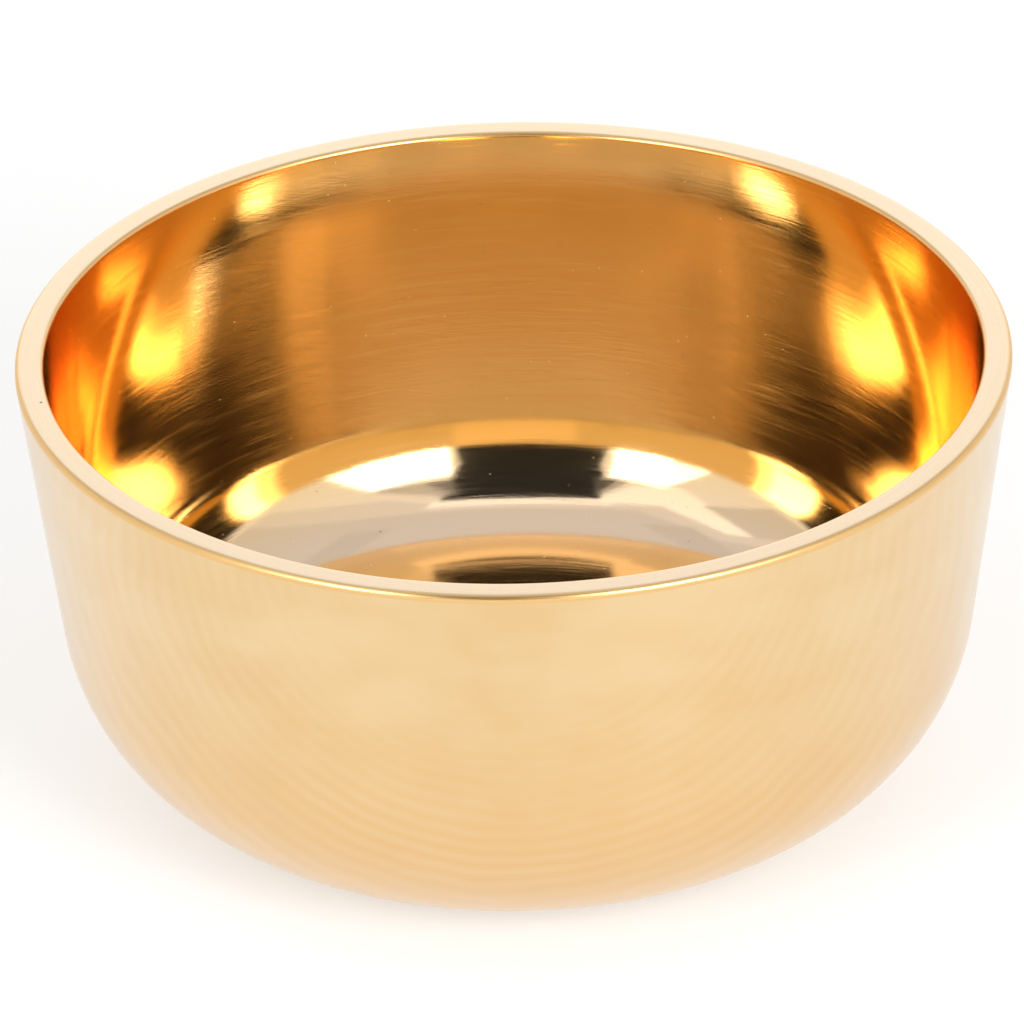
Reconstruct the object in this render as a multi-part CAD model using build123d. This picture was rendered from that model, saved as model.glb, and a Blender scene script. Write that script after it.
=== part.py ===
from build123d import *
import math
import os

# Offering bowl, turned from one piece of brass.
# Lengths are in millimetres and angles in degrees.
# The origin is the middle of the resting face, with +Z up along the axis of turning.

# Driving dimensions of the outside
rim_diameter = 100.0  # across the lip at its widest
bowl_height = 46.8  # from the resting face to the top of the lip
outer_wall_lean = 7.8  # how far the outside of the wall leans out from upright
outer_corner_radius = 21.0  # round between the outside of the wall and the resting face
lip_outer_round = 0.55  # round on the outer edge of the lip

# Driving dimensions of the inside
rim_wall = 2.86  # thickness of the wall at the lip
floor_thickness = 3.9  # thickness of the floor in its flat middle
floor_dish_radius = 131.0  # gentle curve by which the floor rises from its flat middle to the inner corner
floor_dish_slope = 5.25  # how steep that curve is where it meets the inner corner
lip_lean = 2.3  # how far the inside of the wall leans out from upright right under the lip
steep_lean = 1.2  # the same where the inside is steepest, a little below the lip
foot_lean = 12.2  # the same where the wall meets the inner corner
lip_flare_radius = 422.0  # curve that opens the inside towards the lip
corner_radius_step = 7.4  # how much tighter the inner corner is than the outer one
lip_inner_round = 0.45  # round on the inner edge of the lip

rim_radius = rim_diameter / 2
inner_corner_radius = outer_corner_radius - corner_radius_step


def arc_run(radius, start_tilt, end_tilt):
    """Outward run of an arc between two tilts, which are measured from level."""
    return radius * (math.sin(math.radians(end_tilt)) - math.sin(math.radians(start_tilt)))


def arc_rise(radius, start_tilt, end_tilt):
    """Upward rise of an arc between two tilts, which are measured from level."""
    return radius * (math.cos(math.radians(start_tilt)) - math.cos(math.radians(end_tilt)))


# Outside: the wall's line starts at the lip's round and ends where the corner's arc takes over
outer_wall_tilt = 90 - outer_wall_lean
outer_slope = math.tan(math.radians(outer_wall_lean))
outer_wall_top = (
    rim_radius - lip_outer_round * (1 - math.cos(math.radians(outer_wall_lean))),
    bowl_height - lip_outer_round * (1 + math.sin(math.radians(outer_wall_lean))),
)
outer_foot_height = arc_rise(outer_corner_radius, 0, outer_wall_tilt)
outer_foot_radius = outer_wall_top[0] - (outer_wall_top[1] - outer_foot_height) * outer_slope
resting_radius = outer_foot_radius - arc_run(outer_corner_radius, 0, outer_wall_tilt)

# Inside: below the flared lip the wall curves inwards down to the corner's arc, and the floor is a shallow dish
lip_tilt = 90 - lip_lean
steep_tilt = 90 - steep_lean
foot_tilt = 90 - foot_lean
wall_top_height = (
    bowl_height
    - arc_rise(lip_inner_round, 0, lip_tilt)
    - arc_rise(lip_flare_radius, lip_tilt, steep_tilt)
)
wall_foot_height = (
    floor_thickness
    + arc_rise(floor_dish_radius, 0, floor_dish_slope)
    + arc_rise(inner_corner_radius, floor_dish_slope, foot_tilt)
)
inner_wall_radius = (wall_top_height - wall_foot_height) / arc_rise(1, foot_tilt, steep_tilt)
lip_round_reach = 1 / math.cos(math.radians(lip_lean)) - math.tan(math.radians(lip_lean))
lip_flat_end = (rim_radius - rim_wall + lip_inner_round * lip_round_reach, bowl_height)
floor_flat_radius = (
    lip_flat_end[0]
    - arc_run(lip_inner_round, 0, lip_tilt)
    - arc_run(lip_flare_radius, lip_tilt, steep_tilt)
    - arc_run(inner_wall_radius, foot_tilt, steep_tilt)
    - arc_run(inner_corner_radius, floor_dish_slope, foot_tilt)
    - arc_run(floor_dish_radius, 0, floor_dish_slope)
)

# Half section: first the distance from the axis, then the height, all the way round
with BuildPart() as bowl:
    with BuildSketch(Plane.XZ) as section:
        with BuildLine():
            resting_face = Line((0, 0), (resting_radius, 0))
            outer_corner = JernArc(resting_face @ 1, (1, 0), outer_corner_radius, outer_wall_tilt)
            outer_wall = Line(outer_corner @ 1, outer_wall_top)
            lip_outer = JernArc(outer_wall @ 1, outer_wall % 1, lip_outer_round, 90 + outer_wall_lean)
            lip_flat = Line(lip_outer @ 1, lip_flat_end)
            lip_inner = JernArc(lip_flat @ 1, (-1, 0), lip_inner_round, lip_tilt)
            lip_flare = JernArc(lip_inner @ 1, lip_inner % 1, lip_flare_radius, steep_tilt - lip_tilt)
            inner_wall = JernArc(lip_flare @ 1, lip_flare % 1, inner_wall_radius, foot_tilt - steep_tilt)
            inner_corner = JernArc(inner_wall @ 1, inner_wall % 1, inner_corner_radius, floor_dish_slope - foot_tilt)
            floor_dish = JernArc(inner_corner @ 1, inner_corner % 1, floor_dish_radius, -floor_dish_slope)
            floor = Line(floor_dish @ 1, (0, floor_thickness))
            Line(floor @ 1, (0, 0))
        make_face()
    revolve(axis=Axis.Z)

os.makedirs("parts", exist_ok=True)
export_step(bowl.part, "parts/bowl.step")
print(f"resting face {2 * resting_radius:.1f} mm across, flat of the inner floor {2 * floor_flat_radius:.1f} mm")
print(f"metal {bowl.part.volume / 1000:.2f} cubic centimetres")
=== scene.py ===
# %% [markdown]
# # A turned brass offering bowl
# The bowl is one piece of brass. It was cast, turned on a lathe and polished, and the outside was lacquered.
# Its looks come from three materials of the same metal: satin outside, polished inside, and a lip whose
# pale top is a painted highlight.
# The lesson builds the shape as a lathe would, then the finishes, then a light tent to photograph it in.

# %% The frame
import math

import bpy
from mathutils import Matrix, Vector


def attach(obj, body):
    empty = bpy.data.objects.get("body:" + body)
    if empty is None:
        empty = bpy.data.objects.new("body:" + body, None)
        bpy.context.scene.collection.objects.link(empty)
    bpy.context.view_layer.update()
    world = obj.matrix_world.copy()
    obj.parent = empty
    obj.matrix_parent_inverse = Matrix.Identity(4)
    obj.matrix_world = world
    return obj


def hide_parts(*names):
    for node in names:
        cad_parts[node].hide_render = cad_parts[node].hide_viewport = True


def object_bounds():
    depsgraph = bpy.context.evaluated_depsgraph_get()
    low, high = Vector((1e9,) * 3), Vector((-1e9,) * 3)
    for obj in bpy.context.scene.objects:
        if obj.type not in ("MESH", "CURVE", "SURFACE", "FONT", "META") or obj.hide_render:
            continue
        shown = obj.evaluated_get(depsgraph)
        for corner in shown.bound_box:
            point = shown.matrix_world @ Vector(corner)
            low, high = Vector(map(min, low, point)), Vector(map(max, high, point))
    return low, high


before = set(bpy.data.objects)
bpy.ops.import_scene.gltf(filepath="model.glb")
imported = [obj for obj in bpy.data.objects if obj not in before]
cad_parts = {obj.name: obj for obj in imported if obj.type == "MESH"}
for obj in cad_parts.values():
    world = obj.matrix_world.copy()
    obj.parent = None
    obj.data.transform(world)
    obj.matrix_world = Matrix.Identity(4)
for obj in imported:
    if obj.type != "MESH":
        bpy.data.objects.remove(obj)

cad_low, cad_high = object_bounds()
print("CAD box", [round(1000 * side, 2) for side in cad_high - cad_low], "mm")

# %% [markdown]
# ## The section
# A turned bowl is a flat half section swept once round the axis. The section is a chain of runs, straight or
# round, that starts at the middle of the resting face, climbs the outside, crosses the lip and comes down
# inside to the middle of the floor. Each run needs only its length and how far it turns, so a few shop
# dimensions give all of them. The width and the height are read from the frame.

# %% Dimensions of the section
MM = 0.001
rim_radius = (cad_high.x - cad_low.x) / 2
bowl_height = cad_high.z - cad_low.z
outer_wall_lean = math.radians(7.8)
outer_corner_radius = 21.0 * MM
lip_outer_round = 0.55 * MM
rim_wall = 2.86 * MM
floor_thickness = 3.9 * MM
floor_dish_radius = 131.0 * MM
floor_dish_slope = math.radians(5.25)
lip_lean = math.radians(2.3)
steep_lean = math.radians(1.2)
foot_lean = math.radians(12.2)
lip_flare_radius = 422.0 * MM
inner_corner_radius = 13.6 * MM
lip_inner_round = 0.45 * MM

right_angle = math.pi / 2
outer_wall_tilt = right_angle - outer_wall_lean
lip_tilt = right_angle - lip_lean
steep_tilt = right_angle - steep_lean
foot_tilt = right_angle - foot_lean


def arc_run(radius, start_tilt, end_tilt):
    """Outward run of an arc between two tilts, which are measured from level."""
    return radius * (math.sin(end_tilt) - math.sin(start_tilt))


def arc_rise(radius, start_tilt, end_tilt):
    """Upward rise of an arc between two tilts, which are measured from level."""
    return radius * (math.cos(start_tilt) - math.cos(end_tilt))


outer_wall_rise = (
    bowl_height
    - lip_outer_round * (1 + math.sin(outer_wall_lean))
    - arc_rise(outer_corner_radius, 0, outer_wall_tilt)
)
outer_wall_length = outer_wall_rise / math.cos(outer_wall_lean)
resting_radius = (
    rim_radius
    - lip_outer_round * (1 - math.cos(outer_wall_lean))
    - outer_wall_rise * math.tan(outer_wall_lean)
    - arc_run(outer_corner_radius, 0, outer_wall_tilt)
)
lip_inner_start = rim_radius - rim_wall + lip_inner_round * (1 / math.cos(lip_lean) - math.tan(lip_lean))
lip_flat_width = rim_radius - lip_outer_round - lip_inner_start
inner_wall_rise = (
    bowl_height
    - arc_rise(lip_inner_round, 0, lip_tilt)
    - arc_rise(lip_flare_radius, lip_tilt, steep_tilt)
    - arc_rise(inner_corner_radius, floor_dish_slope, foot_tilt)
    - arc_rise(floor_dish_radius, 0, floor_dish_slope)
    - floor_thickness
)
inner_wall_radius = inner_wall_rise / arc_rise(1, foot_tilt, steep_tilt)
floor_flat_radius = (
    lip_inner_start
    - arc_run(lip_inner_round, 0, lip_tilt)
    - arc_run(lip_flare_radius, lip_tilt, steep_tilt)
    - arc_run(inner_wall_radius, foot_tilt, steep_tilt)
    - arc_run(inner_corner_radius, floor_dish_slope, foot_tilt)
    - arc_run(floor_dish_radius, 0, floor_dish_slope)
)

# Beside the lip's small rounds a short ring keeps their shading from spreading into the wall
short_ring = 0.2 * MM
lip_flare_turn = steep_tilt - lip_tilt
lip_flare_start_turn = short_ring / lip_flare_radius

# Each run: its name, its length, how far it turns to the left, and how many rings of faces it gets
section_runs = [
    ("Resting face", resting_radius, 0, 10),
    ("Outer corner", outer_corner_radius * outer_wall_tilt, outer_wall_tilt, 52),
    ("Outer wall", outer_wall_length - short_ring, 0, 22),
    ("Outer wall top", short_ring, 0, 1),
    ("Lip outer round", lip_outer_round * (right_angle + outer_wall_lean), right_angle + outer_wall_lean, 16),
    ("Lip flat", lip_flat_width, 0, 6),
    ("Lip inner round", lip_inner_round * lip_tilt, lip_tilt, 14),
    ("Lip flare top", short_ring, lip_flare_start_turn, 1),
    ("Lip flare", lip_flare_radius * lip_flare_turn - short_ring, lip_flare_turn - lip_flare_start_turn, 12),
    ("Inner wall", inner_wall_radius * (steep_tilt - foot_tilt), foot_tilt - steep_tilt, 30),
    ("Inner corner", inner_corner_radius * (foot_tilt - floor_dish_slope), floor_dish_slope - foot_tilt, 46),
    ("Floor dish", floor_dish_radius * floor_dish_slope, -floor_dish_slope, 10),
    ("Floor", floor_flat_radius, 0, 10),
]
run_end = {}
along_section = 0.0
for run_name, length, turn, rings in section_runs:
    along_section += length
    run_end[run_name] = along_section
print(f"section {along_section / MM:.1f} mm long, flat of the floor {2 * floor_flat_radius / MM:.1f} mm")

# %% [markdown]
# ## Turning the section
# A Screw or Spin modifier could sweep a drawn outline, but then every round of the outline would have to be
# drawn as points first. Geometry Nodes can work the outline out instead. A flat grid has one column for each
# ring. For each run, a small group works out how far the section has come by that ring. The shares of all
# the runs add up to a distance from the axis and a height, and the other side of the grid becomes the angle.

# %% Helpers for node trees
def new_group(name, tree_type, inputs, outputs):
    """A node tree with named sockets. Each is (name, kind), and an input may end in its default."""
    tree = bpy.data.node_groups.new(name, tree_type)
    for in_out, sockets in (("INPUT", inputs), ("OUTPUT", outputs)):
        for socket_name, kind, *default in sockets:
            socket = tree.interface.new_socket(socket_name, in_out=in_out, socket_type="NodeSocket" + kind)
            if default:
                socket.default_value = default[0]
    return tree


def add(tree, kind, settings=None, **inputs):
    """A new node with settings on the node and, by input name, values or links. Names use _ for a space."""
    node = tree.nodes.new(kind)
    for name, value in (settings or {}).items():
        setattr(node, name, value)
    for name, value in inputs.items():
        feed(tree, node, name.replace("_", " "), value)
    return node


def feed(tree, node, name, value):
    """Sets the named or numbered input of a node, or links an output to it."""
    socket = node.inputs[name]
    if isinstance(value, bpy.types.NodeSocket):
        tree.links.new(value, socket)
    else:
        socket.default_value = value


def math_node(tree, operation, *values):
    """A Math node that works on the given numbers or outputs, in order."""
    node = tree.nodes.new("ShaderNodeMath")
    node.operation = operation
    for number, value in enumerate(values):
        feed(tree, node, number, value)
    return node.outputs[0]


# %% One run of the section, as a node group
def make_run_group():
    """How far one straight or round run has brought the section by a given ring."""
    tree = new_group(
        "Section run",
        "GeometryNodeTree",
        [("Ring", "Float"), ("First ring", "Float"), ("Rings", "Float", 1.0), ("Length", "Float"),
         ("Tilt", "Float"), ("Turn", "Float")],
        [("Out", "Float"), ("Up", "Float"), ("Along", "Float"),
         ("Next ring", "Float"), ("Next tilt", "Float")],
    )
    given = tree.nodes.new("NodeGroupInput").outputs
    result = tree.nodes.new("NodeGroupOutput")
    ring_in_run = math_node(tree, "SUBTRACT", given["Ring"], given["First ring"])
    rings_done = math_node(tree, "DIVIDE", ring_in_run, given["Rings"])
    share = add(tree, "ShaderNodeClamp", Value=rings_done).outputs[0]
    along = math_node(tree, "MULTIPLY", share, given["Length"])
    # The chord of a round run points half way between its two tilts, and a straight run is its own chord
    nearly_nothing = 1e-6
    turned = math_node(tree, "MULTIPLY", share, given["Turn"])
    half_turn = math_node(tree, "MULTIPLY_ADD", turned, 0.5, nearly_nothing)
    shrink = math_node(tree, "DIVIDE", math_node(tree, "SINE", half_turn), half_turn)
    chord = math_node(tree, "MULTIPLY", along, shrink)
    heading = math_node(tree, "ADD", given["Tilt"], half_turn)
    feed(tree, result, "Out", math_node(tree, "MULTIPLY", chord, math_node(tree, "COSINE", heading)))
    feed(tree, result, "Up", math_node(tree, "MULTIPLY", chord, math_node(tree, "SINE", heading)))
    feed(tree, result, "Along", along)
    feed(tree, result, "Next ring", math_node(tree, "ADD", given["First ring"], given["Rings"]))
    feed(tree, result, "Next tilt", math_node(tree, "ADD", given["Tilt"], given["Turn"]))
    return tree


run_group = make_run_group()
print("section run group:", len(run_group.nodes), "nodes")


# %% The lathe, as a node tree
def make_lathe_tree(runs, finishes):
    """A bowl turned from the runs. finishes holds (material, name of the run that it ends with), in order."""
    inputs = [("Geometry", "Geometry"), ("Steps round", "Int", 360)]
    for run_name, *_ in runs:
        inputs += [
            (run_name + " length", "Float"), (run_name + " turn", "Float"), (run_name + " rings", "Int"),
        ]
    tree = new_group("Lathe", "GeometryNodeTree", inputs, [("Geometry", "Geometry")])
    given = tree.nodes.new("NodeGroupInput").outputs
    result = tree.nodes.new("NodeGroupOutput")

    grid_place = tree.nodes.new("GeometryNodeInputPosition").outputs[0]
    position = add(tree, "ShaderNodeSeparateXYZ", Vector=grid_place)
    all_rings = 0.0
    for run_name, *_ in runs:
        all_rings = math_node(tree, "ADD", all_rings, given[run_name + " rings"])
    half_rings = math_node(tree, "DIVIDE", all_rings, 2.0)
    ring = math_node(tree, "ROUND", math_node(tree, "ADD", position.outputs["X"], half_rings))
    half_steps = math_node(tree, "DIVIDE", given["Steps round"], 2.0)
    step = math_node(tree, "ROUND", math_node(tree, "ADD", position.outputs["Y"], half_steps))

    out, up, along, first_ring, tilt = 0.0, 0.0, 0.0, 0.0, 0.0
    finish_ends = {}
    for run_name, *_ in runs:
        run = add(
            tree, "GeometryNodeGroup", {"node_tree": run_group, "label": run_name},
            Ring=ring, First_ring=first_ring, Rings=given[run_name + " rings"],
            Length=given[run_name + " length"], Tilt=tilt, Turn=given[run_name + " turn"],
        ).outputs
        out = math_node(tree, "ADD", out, run["Out"])
        up = math_node(tree, "ADD", up, run["Up"])
        along = math_node(tree, "ADD", along, run["Along"])
        first_ring, tilt = run["Next ring"], run["Next tilt"]
        finish_ends[run_name] = first_ring

    # The angle runs clockwise as seen from above, which makes the faces look out of the metal
    angle = math_node(tree, "MULTIPLY", step, math_node(tree, "DIVIDE", -2 * math.pi, given["Steps round"]))
    place = add(
        tree, "ShaderNodeCombineXYZ",
        X=math_node(tree, "MULTIPLY", out, math_node(tree, "COSINE", angle)),
        Y=math_node(tree, "MULTIPLY", out, math_node(tree, "SINE", angle)),
        Z=up,
    )
    grid = add(
        tree, "GeometryNodeMeshGrid",
        Size_X=all_rings, Size_Y=given["Steps round"],
        Vertices_X=math_node(tree, "ADD", all_rings, 1.0),
        Vertices_Y=math_node(tree, "ADD", given["Steps round"], 1.0),
    )
    mesh = add(
        tree, "GeometryNodeStoreNamedAttribute", {"data_type": "FLOAT2", "domain": "CORNER"},
        Geometry=grid.outputs["Mesh"], Name="UVMap", Value=grid.outputs["UV Map"],
    ).outputs[0]
    mesh = add(
        tree, "GeometryNodeStoreNamedAttribute", {"data_type": "FLOAT", "domain": "POINT"},
        Geometry=mesh, Name="along", Value=along,
    ).outputs[0]
    mesh = add(
        tree, "GeometryNodeStoreNamedAttribute", {"data_type": "FLOAT", "domain": "FACE"},
        Geometry=mesh, Name="ring", Value=ring,
    ).outputs[0]
    mesh = add(tree, "GeometryNodeSetPosition", Geometry=mesh, Position=place.outputs[0]).outputs[0]
    # The seam where the grid meets itself and the two poles on the axis are closed here
    weld_distance = 0.001 * MM
    mesh = add(tree, "GeometryNodeMergeByDistance", Geometry=mesh, Distance=weld_distance).outputs[0]
    mesh = add(tree, "GeometryNodeSetShadeSmooth", Geometry=mesh).outputs[0]
    mesh = add(tree, "GeometryNodeRealizeInstances", Geometry=mesh).outputs[0]

    ring_of_face = add(
        tree, "GeometryNodeInputNamedAttribute", {"data_type": "FLOAT"}, Name="ring",
    ).outputs[0]
    *first_finishes, (last_material, _) = finishes
    mesh = add(tree, "GeometryNodeSetMaterial", Geometry=mesh, Material=last_material).outputs[0]
    for material, last_run in reversed(first_finishes):
        before_end = add(
            tree, "FunctionNodeCompare", {"data_type": "FLOAT", "operation": "LESS_THAN"},
            A=ring_of_face, B=finish_ends[last_run],
        ).outputs[0]
        mesh = add(
            tree, "GeometryNodeSetMaterial",
            Geometry=mesh, Selection=before_end, Material=material,
        ).outputs[0]
    feed(tree, result, "Geometry", mesh)
    return tree


# %% [markdown]
# ## Marks on the metal
# Turning and buffing leave fine lines round the bowl, sanding leaves scratches that climb the wall at a
# slant, and use leaves dust, pits and nicks. A picture of them would stretch at the corner and meet itself in
# a seam. Noise can follow the metal instead: one of its directions is the distance along the section, which
# the lathe stored on the mesh, and the other two are the direction from the axis, which closes on itself all
# round. More than one finish needs these marks, so each kind is a node group.

# %% Where a point lies on the turned surface
def vector_node(tree, operation, *values, **inputs):
    """A Vector Math node that works on the given vectors or outputs, in order."""
    node = add(tree, "ShaderNodeVectorMath", {"operation": operation}, **inputs)
    for number, value in enumerate(values):
        feed(tree, node, number, value)
    return node.outputs["Value" if operation == "DOT_PRODUCT" else "Vector"]


def turned_place(tree):
    """A point's direction from the axis, as a level arrow of length 1, and its way along the section."""
    point = add(tree, "ShaderNodeSeparateXYZ", Vector=tree.nodes.new("ShaderNodeTexCoord").outputs["Object"])
    level = add(tree, "ShaderNodeCombineXYZ", X=point.outputs["X"], Y=point.outputs["Y"])
    along = add(tree, "ShaderNodeAttribute", {"attribute_name": "along"})
    return vector_node(tree, "NORMALIZE", level.outputs[0]), along.outputs["Fac"]


def stretched_noise(tree, around, across, seed, detail):
    """Noise that reads an arrow round the bowl and a number across it."""
    shift = add(tree, "ShaderNodeCombineXYZ", X=seed, Z=across).outputs[0]
    place = vector_node(tree, "ADD", around, shift)
    noise = add(tree, "ShaderNodeTexNoise", Vector=place, Scale=1.0, Detail=detail, Roughness=0.6)
    return noise.outputs["Fac"]


def sharpened(tree, noise, share, contrast):
    """Noise turned into a mask that covers about the given share of the metal."""
    from_middle = math_node(tree, "SUBTRACT", noise, 0.5)
    raised_by_share = math_node(tree, "MULTIPLY_ADD", share, 0.4, -0.2)
    above = math_node(tree, "ADD", from_middle, raised_by_share)
    raised = math_node(tree, "MULTIPLY_ADD", above, contrast, 0.5)
    return add(tree, "ShaderNodeClamp", Value=raised).outputs[0]


# %% Turning lines, slanted scratches and specks
def make_turning_lines():
    """Lines round the bowl. Contrast is how sharply they stand out, Share how much metal they cover."""
    tree = new_group(
        "Turning lines", "ShaderNodeTree",
        [("Spacing", "Float", 0.0003), ("Lines in a turn", "Float", 30.0), ("Share", "Float", 0.5),
         ("Contrast", "Float", 4.0), ("Seed", "Float", 0.0)],
        [("Lines", "Float")],
    )
    given = tree.nodes.new("NodeGroupInput").outputs
    direction, along = turned_place(tree)
    turn_scale = math_node(tree, "DIVIDE", given["Lines in a turn"], 2 * math.pi)
    around = vector_node(tree, "SCALE", direction, Scale=turn_scale)
    across = math_node(tree, "DIVIDE", along, given["Spacing"])
    noise = stretched_noise(tree, around, across, given["Seed"], detail=2.0)
    lines = sharpened(tree, noise, given["Share"], given["Contrast"])
    feed(tree, tree.nodes.new("NodeGroupOutput"), "Lines", lines)
    return tree


def make_slanted_scratches():
    """Scratches that wind up the wall. Winding is in turns for each metre of wall."""
    tree = new_group(
        "Slanted scratches", "ShaderNodeTree",
        [("Scratches in a turn", "Float", 300.0), ("Length", "Float", 0.01), ("Winding", "Float", 10.0),
         ("Share", "Float", 0.3), ("Contrast", "Float", 6.0), ("Seed", "Float", 0.0)],
        [("Scratches", "Float")],
    )
    given = tree.nodes.new("NodeGroupInput").outputs
    direction, along = turned_place(tree)
    angle = math_node(tree, "MULTIPLY", along, math_node(tree, "MULTIPLY", given["Winding"], 2 * math.pi))
    wound = add(
        tree, "ShaderNodeVectorRotate", {"rotation_type": "Z_AXIS"}, Vector=direction, Angle=angle,
    ).outputs[0]
    turn_scale = math_node(tree, "DIVIDE", given["Scratches in a turn"], 2 * math.pi)
    around = vector_node(tree, "SCALE", wound, Scale=turn_scale)
    across = math_node(tree, "DIVIDE", along, given["Length"])
    noise = stretched_noise(tree, around, across, given["Seed"], detail=1.0)
    scratches = sharpened(tree, noise, given["Share"], given["Contrast"])
    feed(tree, tree.nodes.new("NodeGroupOutput"), "Scratches", scratches)
    return tree


def make_specks():
    """Small round specks at random places: dust, pits or nicks. Size is a share of their spacing."""
    tree = new_group(
        "Specks", "ShaderNodeTree",
        [("Spacing", "Float", 0.002), ("Size", "Float", 0.05), ("Share", "Float", 0.5)],
        [("Specks", "Float")],
    )
    given = tree.nodes.new("NodeGroupInput").outputs
    point = tree.nodes.new("ShaderNodeTexCoord").outputs["Object"]
    cells_in_metre = math_node(tree, "DIVIDE", 1.0, given["Spacing"])
    cells = add(tree, "ShaderNodeTexVoronoi", Vector=point, Scale=cells_in_metre)
    chance = add(tree, "ShaderNodeSeparateColor", Color=cells.outputs["Color"]).outputs[0]
    near = math_node(tree, "LESS_THAN", cells.outputs["Distance"], given["Size"])
    chosen = math_node(tree, "LESS_THAN", chance, given["Share"])
    feed(tree, tree.nodes.new("NodeGroupOutput"), "Specks", math_node(tree, "MULTIPLY", near, chosen))
    return tree


turning_lines = make_turning_lines()
slanted_scratches = make_slanted_scratches()
specks = make_specks()
print("marks:", [group.name for group in (turning_lines, slanted_scratches, specks)])


# %% [markdown]
# ## Brass
# Metal has no colour of its own beside the tint that it gives to what it mirrors. The inside is polished so
# well that light is mirrored three times and more between its walls, and gets deeper in colour each time, so
# one tint makes the whole range from straw to orange. Lines left by turning spread a reflection across them
# and leave it sharp along them, which is what the shader's anisotropy does once it is turned by a quarter.

# %% Helpers for the finishes
def brass(name, anisotropy):
    """A brass material without its colour and roughness, with its node tree and its shader."""
    material = bpy.data.materials.new(name)
    material.use_nodes = True
    tree = material.node_tree
    shader = tree.nodes["Principled BSDF"]
    shader.inputs["Metallic"].default_value = 1
    shader.inputs["Anisotropic"].default_value = anisotropy
    shader.inputs["Anisotropic Rotation"].default_value = 0.25
    round_the_axis = add(tree, "ShaderNodeTangent", {"direction_type": "RADIAL", "axis": "Z"})
    feed(tree, shader, "Tangent", round_the_axis.outputs[0])
    return material, tree, shader


def marks(tree, group, **inputs):
    """One of the groups of marks with its own values, as a mask."""
    return add(tree, "ShaderNodeGroup", {"node_tree": group}, **inputs).outputs[0]


def mix_colour(tree, factor, first, second):
    """Goes from the first colour to the second as the factor goes from 0 to 1."""
    node = add(tree, "ShaderNodeMix", {"data_type": "RGBA"})
    for number, value in ((0, factor), (6, first), (7, second)):
        feed(tree, node, number, (*value, 1) if isinstance(value, tuple) else value)
    return node.outputs[2]


def along_ramp(tree, start, end):
    """Goes from 0 to 1 between two distances along the section."""
    along = add(tree, "ShaderNodeAttribute", {"attribute_name": "along"}).outputs["Fac"]
    return add(
        tree, "ShaderNodeMapRange", {"interpolation_type": "SMOOTHSTEP"},
        Value=along, From_Min=start, From_Max=end,
    ).outputs[0]


# %% [markdown]
# ### Satin outside
# The outside was buffed and lacquered, so it shows a soft glow of the floor instead of sharp shapes. A
# picture of buffed metal would give its shimmer for one view alone. Here thin lines run round the bowl, and
# wavy arcs about a slanting axis stand for the passes of the buff, coloured paler as a painted shimmer. The
# colour is painted deeper towards the foot, a painted shade of the shadowed floor that the foot mirrors.
# Rough metal under a clear coat gives the lacquer.

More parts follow.
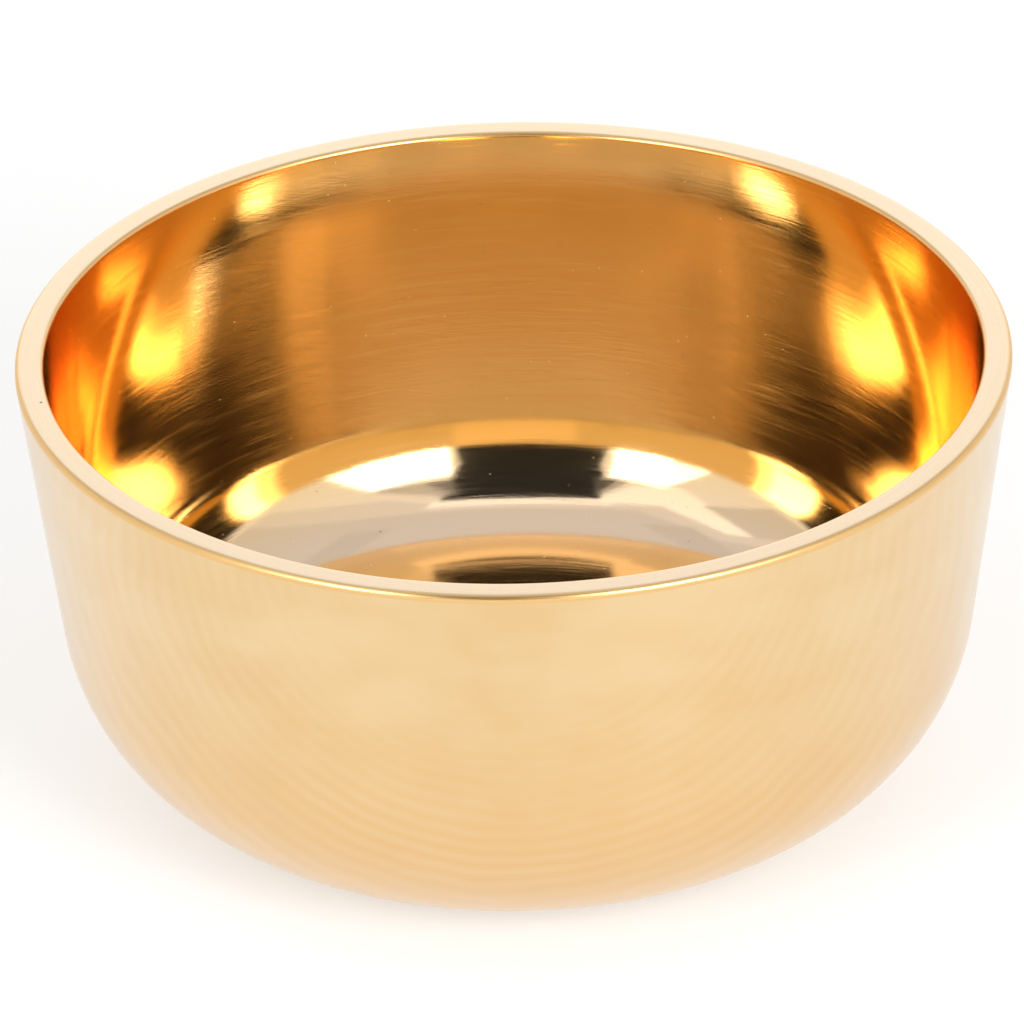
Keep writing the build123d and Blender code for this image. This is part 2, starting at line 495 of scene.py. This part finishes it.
# %% Satin outside
def make_satin_outside():
    """Level lines, cloudy warmer places, a foot with painted shade, and buff bands with painted shimmer."""
    # The foot colour is painted shade of the shadowed floor that the foot mirrors
    deep, straw, foot_shade_colour = (0.725, 0.475, 0.185), (0.755, 0.53, 0.245), (0.715, 0.435, 0.145)
    # The band colour is a painted shimmer, paler than the metal itself
    painted_shimmer_colour, line_colour = (0.84, 0.67, 0.435), (0.61, 0.35, 0.12)
    material, tree, shader = brass("Satin outside", anisotropy=0.5)
    fine = marks(tree, turning_lines, Spacing=0.14 * MM, Lines_in_a_turn=30.0, Contrast=3.0)
    cloudy = marks(tree, turning_lines, Spacing=8.0 * MM, Lines_in_a_turn=22.0, Contrast=3.0, Seed=4.0)
    patches = marks(tree, turning_lines, Spacing=11.0 * MM, Lines_in_a_turn=18.0, Contrast=4.0, Seed=7.0)
    wall = along_ramp(tree, 0.9 * run_end["Outer corner"], 1.33 * run_end["Outer corner"])

    # The buff passed round a slanting axis, so its bands are wavy arcs round that axis.
    # The arcs are real buff marks, but their paler colour is a painted shimmer
    buff_slant = math.radians(29)
    buff_axis_height = 26 * MM
    band_spacing, band_waves = 1.35 * MM, 12.0
    bands_start, bands_full = 16 * MM, 36 * MM
    point = tree.nodes.new("ShaderNodeTexCoord").outputs["Object"]
    sideways = vector_node(tree, "DOT_PRODUCT", point, (1, 0, 0))
    upwards = vector_node(tree, "DOT_PRODUCT", point, (0, math.sin(buff_slant), math.cos(buff_slant)))
    above_axis = math_node(tree, "SUBTRACT", upwards, buff_axis_height)
    squares = [math_node(tree, "POWER", offset, 2.0) for offset in (sideways, above_axis)]
    from_axis = math_node(tree, "SQRT", math_node(tree, "ADD", *squares))
    bend = add(tree, "ShaderNodeTexNoise", Vector=point, Scale=70.0, Detail=2.0).outputs["Fac"]
    waves = math_node(tree, "MULTIPLY", bend, band_waves)
    phase = math_node(tree, "MULTIPLY_ADD", from_axis, 2 * math.pi / band_spacing, waves)
    bands = math_node(tree, "MULTIPLY_ADD", math_node(tree, "SINE", phase), 0.5, 0.5)
    outer_arcs = add(
        tree, "ShaderNodeMapRange", Value=from_axis, From_Min=bands_start, From_Max=bands_full,
    ).outputs[0]
    strength = math_node(tree, "MULTIPLY", outer_arcs, math_node(tree, "MULTIPLY_ADD", patches, 0.12, 0.06))
    painted_shimmer = math_node(tree, "MULTIPLY", bands, strength)

    # The deeper colour towards the foot is painted shade: the foot mirrors the floor in the bowl's shadow
    painted_foot_shade = math_node(tree, "MULTIPLY_ADD", wall, -0.7, 0.7)
    faint_lines = math_node(tree, "MULTIPLY", fine, 0.02)
    colour = mix_colour(tree, cloudy, deep, straw)
    colour = mix_colour(tree, painted_foot_shade, colour, foot_shade_colour)
    colour = mix_colour(tree, painted_shimmer, colour, painted_shimmer_colour)
    colour = mix_colour(tree, faint_lines, colour, line_colour)
    feed(tree, shader, "Base Color", colour)
    feed(tree, shader, "Roughness", math_node(tree, "MULTIPLY_ADD", fine, 0.01, 0.285))
    shader.inputs["Coat Weight"].default_value = 1
    shader.inputs["Coat Roughness"].default_value = 0.3
    shader.inputs["Coat IOR"].default_value = 1.8
    return material


satin_outside = make_satin_outside()
print(satin_outside.name, "has", len(satin_outside.node_tree.nodes), "nodes")


# %% [markdown]
# ### Lip painted pale on top
# The lip's flat top is painted paler than the rest, a painted highlight for the bright reflection that washes
# out on top, while its two rounds keep a deeper colour. A mesh of its own for the lip would leave a seam. A
# ramp along the section changes the tint instead, so the lip stays one surface with the walls.

# %% Lip painted pale on top
def make_lip_painted_pale():
    """The lip, painted pale on top as a highlight, with two edges of deeper colour and a few dark nicks."""
    # The two pale colours of the top are a painted highlight; the edges keep the brass's own tint
    painted_pale_top, painted_pale_top_line = (0.96, 0.76, 0.52), (0.98, 0.80, 0.58)
    edge_colour, nick_colour = (0.78, 0.50, 0.21), (0.35, 0.20, 0.08)
    material, tree, shader = brass("Lip painted pale on top", anisotropy=0.1)
    flat_start, flat_end = run_end["Lip outer round"], run_end["Lip flat"]
    outer_edge = along_ramp(tree, flat_start - 0.6 * lip_outer_round, flat_start)
    inner_edge = along_ramp(tree, flat_end, flat_end + 0.6 * lip_inner_round)
    top = math_node(tree, "SUBTRACT", outer_edge, inner_edge)
    fine = marks(tree, turning_lines, Spacing=0.12 * MM, Lines_in_a_turn=30.0, Contrast=3.0, Seed=9.0)
    nicks = marks(tree, specks, Spacing=4.0 * MM, Size=0.06, Share=0.35)
    colour = mix_colour(tree, fine, painted_pale_top, painted_pale_top_line)
    colour = mix_colour(tree, top, edge_colour, colour)
    feed(tree, shader, "Base Color", mix_colour(tree, nicks, colour, nick_colour))
    feed(tree, shader, "Roughness", math_node(tree, "MULTIPLY_ADD", fine, 0.05, 0.27))
    return material


lip_painted_pale = make_lip_painted_pale()
print(lip_painted_pale.name, "has", len(lip_painted_pale.node_tree.nodes), "nodes")


# %% [markdown]
# ### Polished inside
# The inside is a mirror with hairlines, a few slanted scratches, pits and dust. Modelled scratches would take
# millions of faces. These are finer than a tenth of a millimetre, so a little bump and a change of roughness
# are enough, and the shape of the mirror itself stays in the mesh.

# %% Polished inside
def make_polished_inside():
    """Hairlines round the wall, a few slanted scratches, and a paler floor with pits and dust."""
    wall_colour, floor_colour, pit_colour = (0.89, 0.60, 0.255), (0.895, 0.69, 0.51), (0.30, 0.17, 0.07)
    material, tree, shader = brass("Polished inside", anisotropy=0.5)
    fine = marks(tree, turning_lines, Spacing=0.24 * MM, Lines_in_a_turn=40.0, Contrast=3.0, Seed=2.0)
    broad = marks(
        tree, turning_lines,
        Spacing=0.9 * MM, Lines_in_a_turn=14.0, Share=0.4, Contrast=5.0, Seed=6.0,
    )
    rising = marks(
        tree, slanted_scratches,
        Scratches_in_a_turn=1300.0, Length=1.6 * MM, Winding=14.0, Contrast=3.0,
    )
    pits = marks(tree, specks, Spacing=1.6 * MM, Size=0.05, Share=0.3)
    dust = marks(tree, specks, Spacing=0.9 * MM, Size=0.07, Share=0.15)

    # The paler floor starts just above the inner corner and is full before the corner ends
    paler_from = run_end["Inner wall"] - 0.1 * inner_corner_radius
    paler_to = run_end["Inner wall"] + inner_corner_radius
    floor = along_ramp(tree, paler_from, paler_to)
    colour = mix_colour(tree, floor, wall_colour, floor_colour)
    feed(tree, shader, "Base Color", mix_colour(tree, pits, colour, pit_colour))

    hairlines = math_node(tree, "MULTIPLY", fine, math_node(tree, "MULTIPLY_ADD", broad, 0.6, 0.4))
    smoother_floor = math_node(tree, "MULTIPLY_ADD", floor, -0.02, 0.065)
    polish = math_node(tree, "MULTIPLY_ADD", hairlines, 0.07, smoother_floor)
    feed(tree, shader, "Roughness", math_node(tree, "MULTIPLY_ADD", dust, 0.5, polish))
    relief = math_node(tree, "MULTIPLY_ADD", rising, 0.35, hairlines)
    scratch_depth = 0.0015 * MM
    bump = add(tree, "ShaderNodeBump", Strength=1.0, Distance=scratch_depth, Height=relief)
    feed(tree, shader, "Normal", bump.outputs[0])
    return material


polished_inside = make_polished_inside()
print(polished_inside.name, "has", len(polished_inside.node_tree.nodes), "nodes")

# %% [markdown]
# ## The bowl itself
# One mesh holds the whole bowl, as one casting does. The lathe tree runs once on an empty carrier, and its
# result is kept as a plain mesh. The tree could also stay on the bowl as a live modifier, but a plain mesh is
# what the export and the frame need. The rings where one finish ends and the next starts share their points.

# %% Turn the bowl
lathe = make_lathe_tree(
    section_runs,
    [(satin_outside, "Outer wall top"), (lip_painted_pale, "Lip inner round"), (polished_inside, "Floor")],
)


def turn_bowl(name, steps_round):
    """Runs the lathe tree once and returns its result as a plain mesh object."""
    carrier = bpy.data.objects.new("lathe_carrier", bpy.data.meshes.new("lathe_carrier"))
    bpy.context.scene.collection.objects.link(carrier)
    modifier = carrier.modifiers.new("Lathe", "NODES")
    modifier.node_group = lathe
    sockets = [socket for socket in lathe.interface.items_tree if socket.in_out == "INPUT"]
    identifier = {socket.name: socket.identifier for socket in sockets}
    modifier[identifier["Steps round"]] = steps_round
    for run_name, length, turn, rings in section_runs:
        modifier[identifier[run_name + " length"]] = length
        modifier[identifier[run_name + " turn"]] = float(turn)
        modifier[identifier[run_name + " rings"]] = rings
    depsgraph = bpy.context.evaluated_depsgraph_get()
    mesh = bpy.data.meshes.new_from_object(
        carrier.evaluated_get(depsgraph), preserve_all_data_layers=True, depsgraph=depsgraph
    )
    bpy.data.objects.remove(carrier)
    if mesh.materials[0] is None:  # a grid starts with an empty material slot
        mesh.materials.pop(index=0)
    mesh.name = name
    piece = bpy.data.objects.new(name, mesh)
    bpy.context.scene.collection.objects.link(piece)
    return piece


bowl = turn_bowl("turned_bowl", steps_round=384)
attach(bowl, "root")
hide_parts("bowl")
print(f"bowl: {len(bowl.data.vertices)} points, {len(bowl.data.polygons)} faces")
print("bowl's materials:", [material.name for material in bowl.data.materials])

# %% [markdown]
# ## Camera
# A bowl photographed from close by looks wider in front than behind. A long lens from well back keeps its
# ellipses even, and it looks down far enough to show a part of the floor over the front of the lip.

# %% Camera
camera_distance = 1.25
camera_elevation = math.radians(29.42)
camera_roll = math.radians(-1.18)
camera_data = bpy.data.cameras.new("camera")
camera_data.sensor_width = 36.0
camera_data.lens = 434.5  # in mm, on a sensor as wide as that of a film camera
camera = bpy.data.objects.new("camera", camera_data)
bpy.context.scene.collection.objects.link(camera)
bpy.context.scene.camera = camera
sight_point = Vector((0, 0, bowl_height - 23.27 * MM))
picture_middle = Vector((-0.47 * MM, 2.0 * MM, bowl_height - 19.7 * MM))
towards_camera = Vector((0, -math.cos(camera_elevation), math.sin(camera_elevation)))
camera.location = sight_point + camera_distance * towards_camera
look = (picture_middle - camera.location).to_track_quat("-Z", "Y")
camera.rotation_mode = "QUATERNION"
camera.rotation_quaternion = look @ Matrix.Rotation(camera_roll, 3, "Z").to_quaternion()
print("camera at", [round(x, 3) for x in camera.location])

# %% [markdown]
# ## Light tent
# A mirror shows its surroundings, so most of the look of the bowl's inside is built out here: a white tent, a
# soft lamp on each side of the lens, a dark opening between them for the camera, and the lamps' dim frames.
# Lamp objects would light the bowl but not show in it as shapes. Patches of a glowing dome do both. The
# camera doesn't see them, so that the bowl can be looked at from any side.

# %% Tent
def make_tent(brightness_for_matt):
    """A white world. Mirrors and the camera see it plain white, and matt surfaces get a little less light."""
    world = bpy.data.worlds.new("tent")
    bpy.context.scene.world = world
    world.use_nodes = True
    tree = world.node_tree
    path = tree.nodes.new("ShaderNodeLightPath").outputs
    seen = math_node(tree, "MAXIMUM", path["Is Camera Ray"], path["Is Glossy Ray"])
    seen = math_node(tree, "MAXIMUM", seen, path["Is Transmission Ray"])
    background = tree.nodes["Background"]
    background.inputs["Color"].default_value = (1, 1, 1, 1)
    strength = math_node(tree, "MULTIPLY_ADD", seen, 1 - brightness_for_matt, brightness_for_matt)
    feed(tree, background, "Strength", strength)
    return world


tent = make_tent(brightness_for_matt=0.6)
# The bowl's sides mirror each other many times over, so light may be mirrored more often than usual
bpy.context.scene.cycles.glossy_bounces = 10
print("world:", tent.name)


# %% Tent panels
def dome_point(azimuth, elevation, radius):
    """A point of the tent's dome. Azimuth 0 is the camera's side and grows to the right, in degrees."""
    turn, rise = math.radians(azimuth), math.radians(elevation)
    level = math.cos(rise)
    return radius * Vector((level * math.sin(turn), -level * math.cos(turn), math.sin(rise)))


def dome_panel(name, edges, brightness, radius):
    """A patch of the dome between level edges, from low to high: (left azimuth, right azimuth, elevation)."""
    columns, rows_between = 8, 4
    rows = []
    for low, high in zip(edges, edges[1:]):
        for step in range(rows_between):
            rows.append([start + (end - start) * step / rows_between for start, end in zip(low, high)])
    rows.append(edges[-1])
    points, faces = [], []
    for left, right, elevation in rows:
        for column in range(columns + 1):
            points.append(dome_point(left + (right - left) * column / columns, elevation, radius))
    for row in range(len(rows) - 1):
        for column in range(columns):
            corner = row * (columns + 1) + column
            faces.append((corner, corner + 1, corner + columns + 2, corner + columns + 1))
    return glowing_panel(name, points, faces, brightness)


def dome_sail(name, corners, brightness, radius):
    """A flat patch between corners on the dome, each (azimuth, elevation)."""
    points = [dome_point(azimuth, elevation, radius) for azimuth, elevation in corners]
    return glowing_panel(name, points, [range(len(points))], brightness)


def roof_panel(name, outline, brightness, height):
    """A level patch of the roof. Its outline is (x, y) for a roof 1 m up and shrinks with the height."""
    points = [(height * x, height * y, height) for x, y in outline]
    return glowing_panel(name, points, [range(len(points))], brightness)


def rectangle(left, right, front, back):
    """The four corners of a rectangle on the roof or the floor."""
    return [(left, front), (right, front), (right, back), (left, back)]


def glowing_panel(name, points, faces, brightness):
    """A panel that mirrors show and that lights the bowl. The camera looks through it."""
    mesh = bpy.data.meshes.new(name)
    mesh.from_pydata(points, [], faces)
    panel = bpy.data.objects.new(name, mesh)
    bpy.context.scene.collection.objects.link(panel)
    material = bpy.data.materials.new(name)
    material.use_nodes = True
    tree = material.node_tree
    glow = add(tree, "ShaderNodeEmission", Color=(1, 1, 1, 1), Strength=brightness)
    tree.links.new(glow.outputs[0], tree.nodes["Material Output"].inputs["Surface"])
    mesh.materials.append(material)
    panel.visible_camera = False
    panel.visible_shadow = False
    print(f"{name}: {len(faces)} faces, brightness {brightness}")
    return panel


# %% [markdown]
# ### Lamps and the opening
# Each lamp is a soft box with a brighter middle, so it is two patches, the smaller one in front. What hangs
# above a lamp is a dim triangle with a darker part. The opening runs from the lens up to the roof. Its top
# lies level in the roof, because the edge of a patch on the dome would dip in the middle.

# %% Lamps and the opening
lamp_radius, core_radius, frame_radius, shade_radius, opening_radius = 0.86, 0.84, 0.88, 0.87, 0.92
opening_dark = 0.03
dome_panel("left_lamp", [(-59, -25, 12), (-50, -31, 48)], 2.8, lamp_radius)
dome_panel("left_lamp_core", [(-45, -27, 14), (-42, -31, 43)], 8.0, core_radius)
dome_panel("right_lamp", [(16.5, 58, 12), (21, 48, 47)], 3.6, lamp_radius)
dome_panel("right_lamp_core", [(18, 47, 14), (21, 43, 43)], 8.5, core_radius)
dome_sail("left_lamp_frame", [(-36.6, 65.3), (-38.5, 48.8), (-26.9, 49.9)], 0.5, frame_radius)
dome_sail("left_frame_shade", [(-35, 64), (-34.5, 49), (-26.9, 49.9)], 0.12, shade_radius)
dome_sail("right_lamp_frame", [(27, 66.3), (21.8, 51), (50.2, 45.7)], 0.62, frame_radius)
dome_sail("right_frame_shade", [(26, 65), (21.8, 51), (32, 50)], 0.25, shade_radius)
opening_edges = [(-25, 16, 12), (-25.5, 16.5, 38), (-30, 22, 50.5), (-34, 25, 60)]
opening_top = [(-0.36, -0.62), (0.31, -0.62), (0.25, -0.325), (-0.28, -0.31)]
dome_panel("tent_opening", opening_edges, opening_dark, opening_radius)
roof_panel("opening_top", opening_top, opening_dark, height=0.78)

# %% [markdown]
# ### Roof and back
# The roof is dimmer than the sides, and its front edge lies further back on the left. Two seams cross it, and
# a brighter gap lies before it. One roof with a painted pattern would do too. Flat patches, each a little
# above the next, are easier to move one by one until the bowl mirrors them in the right places.

# %% Roof and back
roof_outline = [(-0.36, -0.15), (1.6, -0.15), (1.6, 1.45), (-1.6, 1.45), (-1.6, 0.4), (-0.5, 0.2)]
roof_edge = [
    (-0.5, -0.25), (0.2, -0.25), (0.5, -0.42), (1.6, -0.42),
    (1.6, 1.5), (-1.6, 1.5), (-1.6, 0.25), (-0.6, 0.1),
]
bright_corner = [(-0.85, -0.62), (-0.52, -0.6), (-0.29, -0.36), (-0.29, -0.1), (-0.75, 0.2)]
roof_panel("dim_roof", roof_outline, 0.75, height=1.0)
roof_panel("roof_edge", roof_edge, 0.86, height=1.01)
roof_panel("left_roof_side", rectangle(-1.6, -0.76, -0.3, 0.4), 0.74, height=1.02)
roof_panel("bright_corner", bright_corner, 1.3, height=1.03)
roof_panel("left_roof_seam", rectangle(-0.475, -0.30, 0.05, 0.9), 0.68, height=0.98)
roof_panel("right_roof_seam", rectangle(0.30, 0.46, 0.05, 0.9), 0.68, height=0.98)
roof_panel("gap_before_roof", rectangle(-0.3, 0.28, -0.33, -0.22), 1.3, height=0.99)
back_radius = 0.9
dome_panel("back_sheet", [(150, 210, 3), (150, 210, 25.5)], 1.28, back_radius)
dome_panel("back_strip", [(150, 210, 25.5), (150, 210, 31)], 1.12, back_radius)


# %% [markdown]
# ## Floor
# The bowl stands on a white sheet. Lit by the lamps alone it would look grey beside the tent, so about half
# of its white is a glow of its own. The other half is the light that falls on it, which lets the bowl keep a
# soft shadow. Its underside is clear, so that the resting face can be looked at from below.

# %% Floor
def make_floor(half_width):
    """A white sheet just under the bowl, clear from below."""
    sheet_grey, sheet_glow = 0.5, 0.48
    sheet_height = -0.05 * MM
    mesh = bpy.data.meshes.new("floor")
    corners = rectangle(-half_width, half_width, -half_width, half_width)
    mesh.from_pydata([(x, y, sheet_height) for x, y in corners], [], [(0, 1, 2, 3)])
    floor = bpy.data.objects.new("floor", mesh)
    bpy.context.scene.collection.objects.link(floor)
    material = bpy.data.materials.new("white sheet")
    material.use_nodes = True
    tree = material.node_tree
    shader = tree.nodes["Principled BSDF"]
    shader.inputs["Base Color"].default_value = (sheet_grey, sheet_grey, sheet_grey, 1)
    shader.inputs["Roughness"].default_value = 1.0
    shader.inputs["Specular IOR Level"].default_value = 0.0
    shader.inputs["Emission Color"].default_value = (1, 1, 1, 1)
    shader.inputs["Emission Strength"].default_value = sheet_glow
    side = add(
        tree, "ShaderNodeMixShader",
        Fac=tree.nodes.new("ShaderNodeNewGeometry").outputs["Backfacing"],
    )
    feed(tree, side, 1, shader.outputs[0])
    feed(tree, side, 2, tree.nodes.new("ShaderNodeBsdfTransparent").outputs[0])
    tree.links.new(side.outputs[0], tree.nodes["Material Output"].inputs["Surface"])
    mesh.materials.append(material)
    return floor


floor_sheet = make_floor(6.0)
print("floor:", floor_sheet.data.materials[0].name)

# %% [markdown]
# ## Finish
# The Standard view shows a colour as it is written.

# %% Finish
bpy.context.scene.view_settings.view_transform = "Standard"
